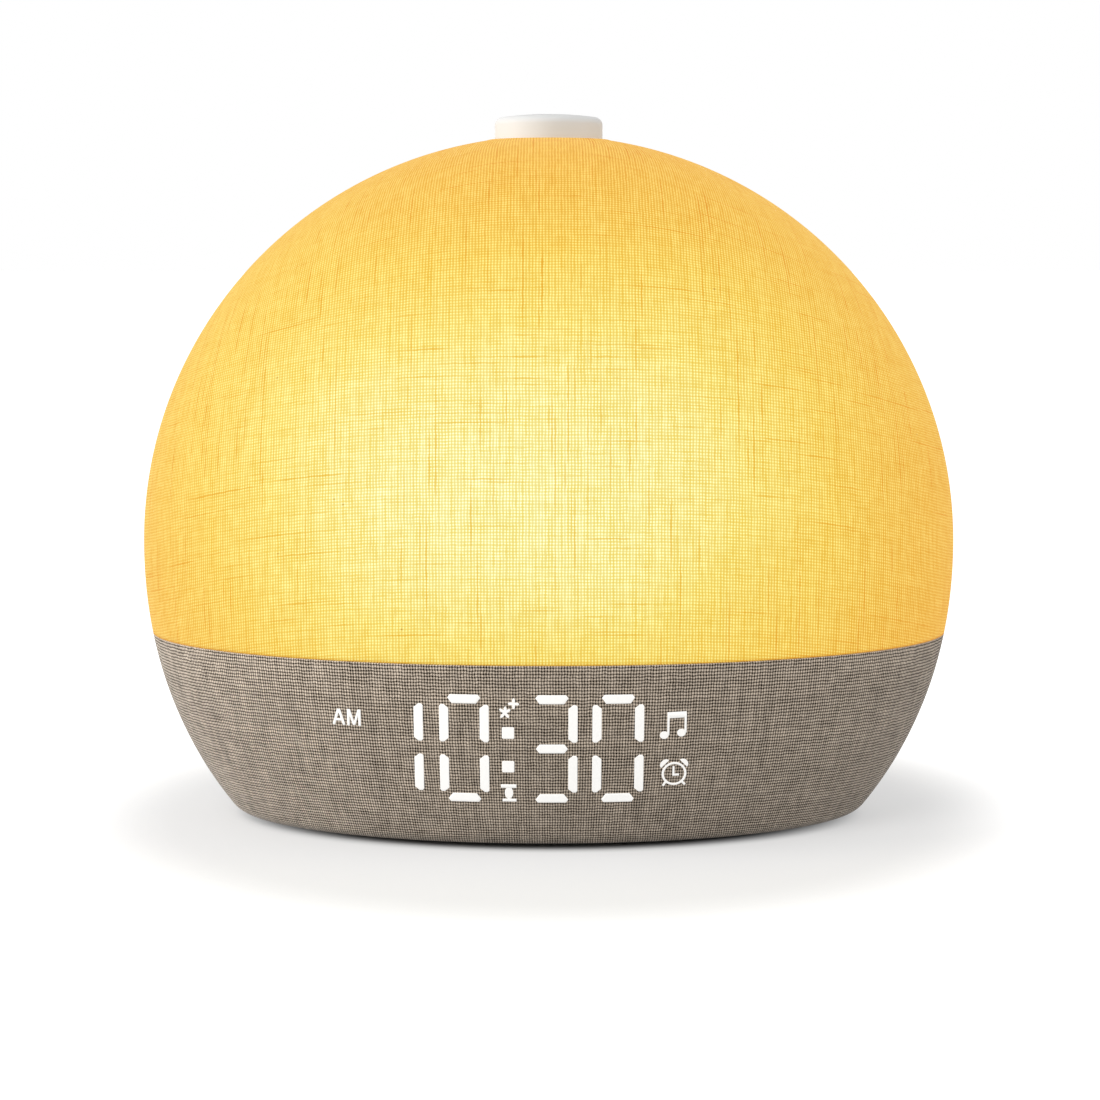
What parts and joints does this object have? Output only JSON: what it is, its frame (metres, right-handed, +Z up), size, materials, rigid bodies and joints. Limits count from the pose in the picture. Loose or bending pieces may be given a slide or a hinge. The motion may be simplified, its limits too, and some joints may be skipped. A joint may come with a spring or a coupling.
{
  "type": "sunrise alarm clock",
  "caption": "Sunrise alarm clock: a fabric-covered oval light dome on a fabric-covered base with lit digits behind the cloth, a turn-and-press dial on top and controls at the rear.",
  "frame": {"origin": "on the table, under the middle of the clock's bounding box", "axes": "+X along the width (to the right seen from the front), +Y from front to rear, +Z up; the display faces -Y"},
  "size_m": [0.175, 0.112, 0.1509],
  "materials": {
    "shade_cloth": "open plain-weave linen-look cloth, lit warm from behind",
    "base_cloth": "taupe plain-weave cloth",
    "milky_plastic": "milky translucent moulding",
    "grey_plastic": "fine moulded texture",
    "panel_plastic": "fine moulded texture",
    "foot_rubber": "matte rubber",
    "screw_steel": "zinc-plated",
    "white_plastic": "satin moulding",
    "white_board": "white solder mask",
    "green_board": "green solder mask",
    "warm_led": "clear lens",
    "white_led": "clear lens",
    "zinc_can": "die-cast, bright",
    "nut_brass": "nickel-plated",
    "dial_plastic": "warm cream satin moulding",
    "black_plastic": "matte moulding",
    "lit_insert": "clear moulding, lit white",
    "socket_steel": "stamped, bright",
    "black_steel": "black paint",
    "paper_cone": "pressed paper, matte",
    "magnet_ferrite": "sintered ferrite",
    "button_plastic": "soft-touch moulding",
    "lead_sheath": "soft sheath"
  },
  "bodies": {
    "clock_body": {"base_fabric": "base_cloth", "base_housing": "grey_plastic", "bottom_plate": "grey_plastic", "bottom_screws": "screw_steel", "control_board": "green_board", "control_board_screws": "screw_steel", "control_lead": "lead_sheath", "deck_plate": "white_plastic", "deck_screws": "screw_steel", "dial_lead": "lead_sheath", "dial_return_dome": "screw_steel", "diffuser_dome": "milky_plastic", "display_board": "green_board", "display_digits": "lit_insert", "display_lead": "lead_sheath", "display_leds": "white_led", "display_screws": "screw_steel", "display_shroud": "black_plastic", "display_signs": "lit_insert", "encoder_board": "green_board", "encoder_body": "zinc_can", "encoder_nut": "nut_brass", "encoder_screws": "screw_steel", "encoder_washer": "screw_steel", "foot_ring": "foot_rubber", "front_light_board": "white_board", "front_light_leds": "warm_led", "inlet_tongue": "black_plastic", "lead_connectors": "white_plastic", "light_board_screws": "screw_steel", "light_leads": "lead_sheath", "main_board": "green_board", "main_board_screws": "screw_steel", "main_chips": "black_plastic", "power_inlet": "socket_steel", "push_switches": "black_plastic", "rear_light_board": "white_board", "rear_light_leds": "warm_led", "rear_panel": "panel_plastic", "shade_fabric": "shade_cloth", "slide_switch": "socket_steel", "speaker_basket": "black_steel", "speaker_cone": "paper_cone", "speaker_gasket": "foot_rubber", "speaker_lead": "lead_sheath", "speaker_magnet": "magnet_ferrite", "speaker_surround": "foot_rubber", "spine_frame": "white_plastic", "spine_screws": "screw_steel"},
    "encoder_rotor": {"encoder_rotor": "white_plastic"},
    "dial": {"dial": "dial_plastic", "dial_shaft": "zinc_can"},
    "light_button": {"light_button": "button_plastic", "light_plunger": "black_plastic"},
    "sound_button": {"sound_button": "button_plastic", "sound_plunger": "black_plastic"},
    "time_button": {"time_button": "button_plastic", "time_plunger": "black_plastic"},
    "alarm_slider": {"alarm_slider": "button_plastic"}
  },
  "joints": [
    {"name": "dial_turn", "type": "hinge", "parent": "clock_body", "child": "encoder_rotor", "pos_m": [0, 0, 0.1305], "axis": [0, 0, 1], "continuous": true},
    {"name": "dial_press", "type": "slide", "parent": "encoder_rotor", "child": "dial", "axis": [0, 0, -1], "range_m": [0, 0.0006], "stiffness_N_per_m": 4000, "deforming": ["dial_return_dome"]},
    {"name": "light_button_press", "type": "slide", "parent": "clock_body", "child": "light_button", "axis": [0, -1, 0], "range_m": [0, 0.0005], "stiffness_N_per_m": 2500},
    {"name": "sound_button_press", "type": "slide", "parent": "clock_body", "child": "sound_button", "axis": [0, -1, 0], "range_m": [0, 0.0005], "stiffness_N_per_m": 2500},
    {"name": "time_button_press", "type": "slide", "parent": "clock_body", "child": "time_button", "axis": [0, -1, 0], "range_m": [0, 0.0005], "stiffness_N_per_m": 2500},
    {"name": "alarm_slide", "type": "slide", "parent": "clock_body", "child": "alarm_slider", "axis": [1, 0, 0], "range_m": [0, 0.003]}
  ]
}
